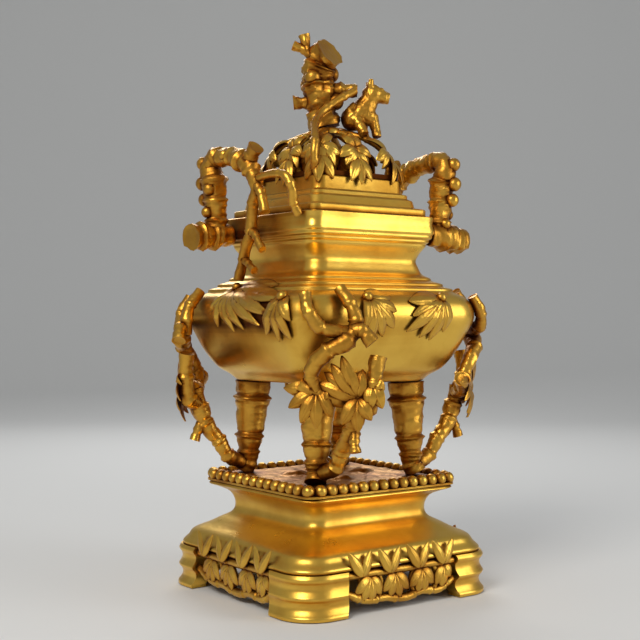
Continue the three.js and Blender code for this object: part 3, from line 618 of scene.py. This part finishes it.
# Leaves that hang over the edge of the plateau, each as its turn from the arch and its tip's level
HANGING_TIPS = [[-12, -2.6], [0, -4], [12, -2.2]]
HANGING_LEVEL = 9
HANGING_REACH = 5.8
LEAF_TIPS = [[-15, 5], [14, 4], [-13, 20], [0, 2.5], [-22, 9], [20, 10], [10, 20]]
for place, turn in enumerate(ARCH_TURNS):
    bend = 5 if place % 2 else -6
    heights = [1.4, 7, LEAF_LEVEL, 20, DOME_HEIGHT - 1.8]
    route = [on_dome(turn + bend * math.sin(step * math.pi / 2), z) for step, z in enumerate(heights)]
    dome_shapes.append(stem(route, [1.7] * 5, [0.8, 1.8, 3], sides=12, spacing=0.5))
    outward = np.array(on_dome(turn, LEAF_LEVEL))
    outward[2] = LEAF_LEVEL
    for offset, tip_z in LEAF_TIPS:
        tip = on_dome(turn + offset, tip_z, 1.2)
        dome_shapes.append(leaf(on_dome(turn, LEAF_LEVEL, 0.9), tip, 5.6, outward, 1.9))
    for offset, tip_z in HANGING_TIPS:
        tip = on_dome(turn + offset, tip_z, HANGING_REACH)
        dome_shapes.append(leaf(on_dome(turn, HANGING_LEVEL, 1.2), tip, 5, outward, 1.6))
dome_shapes.append(loft([square_ring(9, 7, DOME_TOP - 3), square_ring(9.1, 7, DOME_TOP - 2),
                         square_ring(8.4, 7, DOME_TOP - 0.6), square_ring(7.4, 6, DOME_TOP)]))
add_piece("pierced_dome", dome_shapes, "cover", "leaf_gilt", ["cover_fretwork"])

# Finial
STUMP_STEMS = [
    [[[-1.5, 1, 0.4], [-3, 2.4, 8], [-4, 3.2, 19], [-4, 3.4, 28], [-2.8, 0.6, 34], [-1.6, -3.6, 36.4]],
     [7.8, 6.6, 7.6, 7.2, 7.4, 7.8], [1, 2.2, 3.4]],
    [[[-4, 3, 14], [-9, 6.6, 13], [-14, 10.2, 12.4]], [3.6, 3, 3.4], [1]],
    [[[-2, 2, 17], [5, -4, 18.6], [11, -8.4, 18.4]], [4.4, 3.4, 3], [1]],
    [[[-6, 4.6, 32], [-8.2, 6, 38.5], [-9.7, 7.2, FINIAL_HEIGHT - 0.6]], [2.6, 1.9, 2.6], [1]],
    [[[-6, 4.6, 34], [-9.6, 7.2, 38.4], [-14, 10.4, 40.6]], [2.4, 1.9, 2.4], [1]],
]
STUMP_KNOBS = [[-9.4, 0.4, 24, 4], [2.2, 1.6, 27, 4.2], [-6, 8.8, 22, 4], [1.4, -3.4, 13, 4.2]]
stump_shapes = [stem([[x, y, z + FINIAL_BASE] for x, y, z in points], radii, nodes, sides=24, gnarl=0.14)
                for points, radii, nodes in STUMP_STEMS]
stump_shapes += [ball((x, y, z + FINIAL_BASE), radius) for x, y, z, radius in STUMP_KNOBS]
add_piece("root_stump", stump_shapes, "cover", "aged_gilt", ["finial_stump"])

# Crouching beast: haunch, chest and head, then neck, muzzle, ears and legs
BEAST_BALLS = [[9.6, -7, 5, 6.2], [14.4, -10.6, 6.4, 5.4], [17, -12.6, 16.6, 5.2], [19.6, -16.4, 18.6, 1.5],
               [21.6, -13.2, 18.6, 1.5]]
BEAST_STEMS = [
    [[[12, -8.8, 7], [15, -11, 12], [16.6, -12.2, 16]], [5.8, 5.2, 4.8]],
    [[[18, -13.4, 16.4], [21.4, -15.8, 15.4], [24, -17.4, 15]], [4, 3.4, 2.8]],
    [[[14.8, -14.2, 19], [13.6, -15.6, 23.8]], [2.3, 1.1]],
    [[[18.2, -9.8, 19], [17.6, -8.4, 23.8]], [2.3, 1.1]],
    [[[9, -10.6, 4], [9.6, -14, -1.4], [9.8, -16, -3.8]], [3.2, 2.4, 2.4]],
    [[[16.6, -13, 6], [17.4, -15, -1], [17.6, -16, -4.6]], [3.1, 2.3, 2.4]],
    [[[15, -7, 6], [17, -5.6, -1], [18.6, -5, -3.4]], [3.1, 2.3, 2.4]],
    [[[6.4, -3.4, 4], [5.6, -8.4, 8.6], [8.4, -9.6, 12.4]], [1.5, 1.5, 1.1]],
]
beast_shapes = [ball((x, y, z + FINIAL_BASE), radius) for x, y, z, radius in BEAST_BALLS]
beast_shapes += [stem([[x, y, z + FINIAL_BASE] for x, y, z in points], radii, gnarl=0.05)
                 for points, radii in BEAST_STEMS]
beast = raw_piece("beast", beast_shapes)
melt(beast, 0.45, 7, 0.3, 420)
finish_piece(beast, "cover", "aged_gilt", ["finial_beast"], 60)

CANE = [[-24, -21.8, 0.6 - DOME_HEIGHT], [-27, -24.6, 8 - DOME_HEIGHT], [-25.4, -23.2, 15 - DOME_HEIGHT],
        [-19, -14.6, -1], [-11, -9.4, 6], [-3, -10.6, 12], [6.4, -12.6, 17.6]]
CANE_RADII = [1.9, 1.8, 1.8, 1.8, 1.8, 1.8, 2]
cane_shape = stem([[x, y, z + FINIAL_BASE] for x, y, z in CANE], CANE_RADII, [0.7, 2, 3, 4.4, 5.4])
add_piece("climbing_cane", [cane_shape], "cover", "aged_gilt", ["finial_cane"])


# Recess: how much of the sky above each point its neighbours hide, kept as an attribute. The gilt darkens
# with it, partly as the patina of the hollows and partly as painted shade where neighbours hide the light
RECESS_REACH = 0.008
RECESS_RAYS = 12
RAY_HEIGHTS = (0.95, 0.2)
RAY_START = 0.0002
NEARNESS = 0.6


def store_recess_shade():
    points = []
    triangles = []
    start = 0
    for piece in made:
        mesh = piece.data
        mesh.calc_loop_triangles()
        points += [vertex.co.copy() for vertex in mesh.vertices]
        for triangle in mesh.loop_triangles:
            triangles.append(tuple(start + corner for corner in triangle.vertices))
        start += len(mesh.vertices)
    tree = BVHTree.FromPolygons(points, triangles)
    rays = []
    golden = math.pi * (3 - math.sqrt(5))
    for ray in range(RECESS_RAYS):
        height = RAY_HEIGHTS[0] - (RAY_HEIGHTS[0] - RAY_HEIGHTS[1]) * ray / (RECESS_RAYS - 1)
        spread = math.sqrt(1 - height ** 2)
        rays.append(Vector((spread * math.cos(golden * ray), spread * math.sin(golden * ray), height)))
    up = Vector((0, 0, 1))
    for piece in made:
        mesh = piece.data
        values = np.zeros(len(mesh.vertices), dtype=np.float32)
        for vertex in mesh.vertices:
            turn = up.rotation_difference(vertex.normal)
            origin = vertex.co + vertex.normal * RAY_START
            hidden = 0.0
            for ray in rays:
                distance = tree.ray_cast(origin, turn @ ray, RECESS_REACH)[3]
                if distance is not None:
                    hidden += 1 - NEARNESS * distance / RECESS_REACH
            values[vertex.index] = hidden / RECESS_RAYS
        # The mask of the painted shade and the patina in the hollows
        attribute = mesh.attributes.new("recess_shade", "FLOAT", "POINT")
        attribute.data.foreach_set("value", values)


store_recess_shade()


# Finishes
def new_group(name, inputs, outputs):
    group = bpy.data.node_groups.new(name, "ShaderNodeTree")
    for socket_name, kind, value in inputs:
        socket = group.interface.new_socket(name=socket_name, in_out="INPUT", socket_type=kind)
        socket.default_value = value
    for socket_name, kind in outputs:
        group.interface.new_socket(name=socket_name, in_out="OUTPUT", socket_type=kind)
    return group, group.nodes.new("NodeGroupInput"), group.nodes.new("NodeGroupOutput")


CLOUD_SCALE = 60
GRAIN_SCALE = 420
CLOUD_SWAY = 0.55
BRIGHT_RANGE = (0.08, 0.38)
# Where the middle colour passes into the deep colour, which is painted shade
DEEP_SHADE_RANGE = (0.34, 0.72)
ROUGH_RANGE = (0.27, 0.7)
RELIEF_DEPTH = 0.0004


def gilt_group():
    """Gilding with painted shade: bright where nothing hides the sky, brown where the recesses keep their
    patina, and near black where painted shade falls deepest.
    """
    group, entry, leave = new_group(
        "gilt_patina_and_shade",
        [("Bright", "NodeSocketColor", (1, 1, 1, 1)), ("Middle", "NodeSocketColor", (1, 1, 1, 1)),
         ("Deep_shade", "NodeSocketColor", (1, 1, 1, 1)), ("Patina", "NodeSocketFloat", 0.5),
         ("Grain", "NodeSocketFloat", 0.5)],
        [("Color", "NodeSocketColor"), ("Roughness", "NodeSocketFloat"), ("Height", "NodeSocketFloat")])
    nodes = group.nodes
    links = group.links
    place = nodes.new("ShaderNodeTexCoord")
    # The recess attribute drives the colour: the more of the sky is hidden, the browner and darker, partly
    # the patina of the hollows and partly painted shade
    recess_shade = nodes.new("ShaderNodeAttribute")
    recess_shade.attribute_name = "recess_shade"
    cloud = nodes.new("ShaderNodeTexNoise")
    cloud.inputs["Scale"].default_value = CLOUD_SCALE
    cloud.inputs["Detail"].default_value = 6
    grain = nodes.new("ShaderNodeTexNoise")
    grain.inputs["Scale"].default_value = GRAIN_SCALE
    grain.inputs["Detail"].default_value = 4
    links.new(place.outputs["Object"], cloud.inputs["Vector"])
    links.new(place.outputs["Object"], grain.inputs["Vector"])
    sway = nodes.new("ShaderNodeMath")
    sway.operation = "MULTIPLY_ADD"
    sway.inputs[1].default_value = CLOUD_SWAY
    sway.inputs[2].default_value = -CLOUD_SWAY / 2
    links.new(cloud.outputs["Fac"], sway.inputs[0])
    total = nodes.new("ShaderNodeMath")
    total.operation = "ADD"
    links.new(recess_shade.outputs["Fac"], total.inputs[0])
    links.new(sway.outputs[0], total.inputs[1])
    offset = nodes.new("ShaderNodeMath")
    offset.operation = "ADD"
    links.new(total.outputs[0], offset.inputs[0])
    links.new(entry.outputs["Patina"], offset.inputs[1])
    upper = nodes.new("ShaderNodeMapRange")
    upper.inputs["From Min"].default_value = BRIGHT_RANGE[0]
    upper.inputs["From Max"].default_value = BRIGHT_RANGE[1]
    lower = nodes.new("ShaderNodeMapRange")
    lower.inputs["From Min"].default_value = DEEP_SHADE_RANGE[0]
    lower.inputs["From Max"].default_value = DEEP_SHADE_RANGE[1]
    links.new(offset.outputs[0], upper.inputs["Value"])
    links.new(offset.outputs[0], lower.inputs["Value"])
    first = nodes.new("ShaderNodeMix")
    first.data_type = "RGBA"
    links.new(upper.outputs[0], first.inputs["Factor"])
    links.new(entry.outputs["Bright"], first.inputs[6])
    links.new(entry.outputs["Middle"], first.inputs[7])
    second = nodes.new("ShaderNodeMix")
    second.data_type = "RGBA"
    links.new(lower.outputs[0], second.inputs["Factor"])
    links.new(first.outputs[2], second.inputs[6])
    links.new(entry.outputs["Deep_shade"], second.inputs[7])
    links.new(second.outputs[2], leave.inputs["Color"])
    rough = nodes.new("ShaderNodeMapRange")
    rough.inputs["To Min"].default_value = ROUGH_RANGE[0]
    rough.inputs["To Max"].default_value = ROUGH_RANGE[1]
    links.new(offset.outputs[0], rough.inputs["Value"])
    links.new(rough.outputs[0], leave.inputs["Roughness"])
    height = nodes.new("ShaderNodeMath")
    height.operation = "MULTIPLY"
    links.new(grain.outputs["Fac"], height.inputs[0])
    links.new(entry.outputs["Grain"], height.inputs[1])
    links.new(height.outputs[0], leave.inputs["Height"])
    return group


GILT_PATINA_AND_SHADE = gilt_group()


def gilt_material(name, bright, middle, deep, patina, grain, bump):
    material = bpy.data.materials.new(name)
    material.use_nodes = True
    nodes = material.node_tree.nodes
    links = material.node_tree.links
    shader = nodes["Principled BSDF"]
    shader.inputs["Metallic"].default_value = 1
    gilt = nodes.new("ShaderNodeGroup")
    gilt.node_tree = GILT_PATINA_AND_SHADE
    gilt.inputs["Bright"].default_value = (*bright, 1)
    gilt.inputs["Middle"].default_value = (*middle, 1)
    gilt.inputs["Deep_shade"].default_value = (*deep, 1)
    gilt.inputs["Patina"].default_value = patina
    gilt.inputs["Grain"].default_value = grain
    links.new(gilt.outputs["Color"], shader.inputs["Base Color"])
    links.new(gilt.outputs["Roughness"], shader.inputs["Roughness"])
    relief = nodes.new("ShaderNodeBump")
    relief.inputs["Strength"].default_value = bump
    relief.inputs["Distance"].default_value = RELIEF_DEPTH
    links.new(gilt.outputs["Height"], relief.inputs["Height"])
    links.new(relief.outputs["Normal"], shader.inputs["Normal"])
    return material


GOLD_BRIGHT = (0.84, 0.52, 0.085)
GOLD_MIDDLE = (0.45, 0.19, 0.022)
# Near-black brown of the most hidden hollows: painted shade over the patina
GOLD_DEEP_SHADE = (0.11, 0.028, 0.004)
# Each finish: bright, middle and deep colours, then patina, grain and bump; the middle colour is the patina
# of the hollows, the deep colour painted shade in the most hidden ones
FINISH_VALUES = {
    "polished_gilt": (GOLD_BRIGHT, (0.58, 0.28, 0.03), GOLD_DEEP_SHADE, 0.1, 0.5, 0.35),
    "aged_gilt": ((0.76, 0.42, 0.06), GOLD_MIDDLE, GOLD_DEEP_SHADE, 0.2, 1, 0.7),
    "leaf_gilt": ((0.82, 0.5, 0.08), GOLD_MIDDLE, GOLD_DEEP_SHADE, 0.16, 1, 0.6),
    "dark_gilt": ((0.55, 0.27, 0.035), (0.3, 0.11, 0.014), (0.07, 0.018, 0.003), 0.26, 1, 0.8),
}
finishes = {name: gilt_material(f"{name}_finish", *values) for name, values in FINISH_VALUES.items()}
slots = {row["node"]: row["material_slot"] for row in frame["record"]["subparts"]}
for piece in made:
    piece.data.materials.clear()
    piece.data.materials.append(finishes[piece["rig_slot"]])
for node_name, node in frame["nodes"].items():
    node.data.materials.clear()
    node.data.materials.append(finishes[slots[node_name]])


# Floor, light and camera
def plain_material(name, colour):
    """A pale matt ground."""
    material = bpy.data.materials.new(name)
    material.use_nodes = True
    nodes = material.node_tree.nodes
    nodes["Principled BSDF"].inputs["Base Color"].default_value = (*colour, 1)
    nodes["Principled BSDF"].inputs["Roughness"].default_value = 0.9
    return material


# One sheet, flat under the stand and swept up behind it, so that no edge shows
SWEEP_START = 0.9
SWEEP_RADIUS = 0.8
SWEEP_HEIGHT = 3.0
SWEEP_WIDTH = 4.0
SHEET_FRONT = -3.0
SHEET_LEVEL = -0.0005
VIEW_TURN = math.radians(36.56)


def sheet_profile():
    rows = [(SHEET_FRONT, 0), (SWEEP_START, 0)]
    for step in range(1, 25):
        angle = step / 24 * math.pi / 2
        rows.append((SWEEP_START + SWEEP_RADIUS * math.sin(angle), SWEEP_RADIUS * (1 - math.cos(angle))))
    rows.append((SWEEP_START + SWEEP_RADIUS, SWEEP_HEIGHT))
    return rows


sheet_points = []
for reach, rise in sheet_profile():
    for across in (-SWEEP_WIDTH, SWEEP_WIDTH):
        x = reach * math.sin(VIEW_TURN) + across * math.cos(VIEW_TURN)
        y = reach * math.cos(VIEW_TURN) - across * math.sin(VIEW_TURN)
        sheet_points.append((x, y, SHEET_LEVEL + rise))
sheet_faces = [(row, row + 1, row + 3, row + 2) for row in range(0, len(sheet_points) - 2, 2)]
sheet_mesh = bpy.data.meshes.new("floor")
sheet_mesh.from_pydata(sheet_points, [], sheet_faces)
floor = bpy.data.objects.new("floor", sheet_mesh)
bpy.context.scene.collection.objects.link(floor)
select_only(floor)
bpy.ops.object.shade_smooth()
floor.data.materials.append(plain_material("pale_floor", (0.72, 0.72, 0.71)))

world = bpy.data.worlds.new("studio")
world.use_nodes = True
background = world.node_tree.nodes["Background"]
background.inputs["Color"].default_value = (0.82, 0.84, 0.86, 1)
background.inputs["Strength"].default_value = 0.42
bpy.context.scene.world = world


def add_lamp(name, place, target, size, power, tint=(1, 1, 1)):
    data = bpy.data.lights.new(name, "AREA")
    data.shape = "RECTANGLE"
    data.size = size[0]
    data.size_y = size[1]
    data.energy = power
    data.color = tint
    lamp = bpy.data.objects.new(name, data)
    bpy.context.scene.collection.objects.link(lamp)
    lamp.location = place
    lamp.rotation_euler = (Vector(target) - Vector(place)).to_track_quat("-Z", "Y").to_euler()


MIDDLE = (0, 0, 0.13)
add_lamp("key", (-0.75, -0.35, 0.75), MIDDLE, (0.4, 0.4), 5.5, (1, 0.97, 0.92))
add_lamp("fill", (0.55, -0.75, 0.35), MIDDLE, (0.4, 0.6), 2.6)
add_lamp("rim", (0.4, 0.7, 0.6), MIDDLE, (0.5, 0.3), 2.5)

CAMERA_PLACE = (-0.35216, -0.46765, 0.1298)
FOCAL_PIXELS = 1200
FRAME_PIXELS = 640
SENSOR = 36
SIGHT_DROP = -0.0012
camera_data = bpy.data.cameras.new("camera")
camera_data.sensor_width = SENSOR
camera_data.lens = FOCAL_PIXELS / FRAME_PIXELS * SENSOR
camera = bpy.data.objects.new("camera", camera_data)
bpy.context.scene.collection.objects.link(camera)
camera.location = CAMERA_PLACE
sight = Vector((math.sin(VIEW_TURN), math.cos(VIEW_TURN), SIGHT_DROP))
camera.rotation_euler = sight.to_track_quat("-Z", "Y").to_euler()
bpy.context.scene.camera = camera
bpy.context.scene.view_settings.view_transform = "Standard"
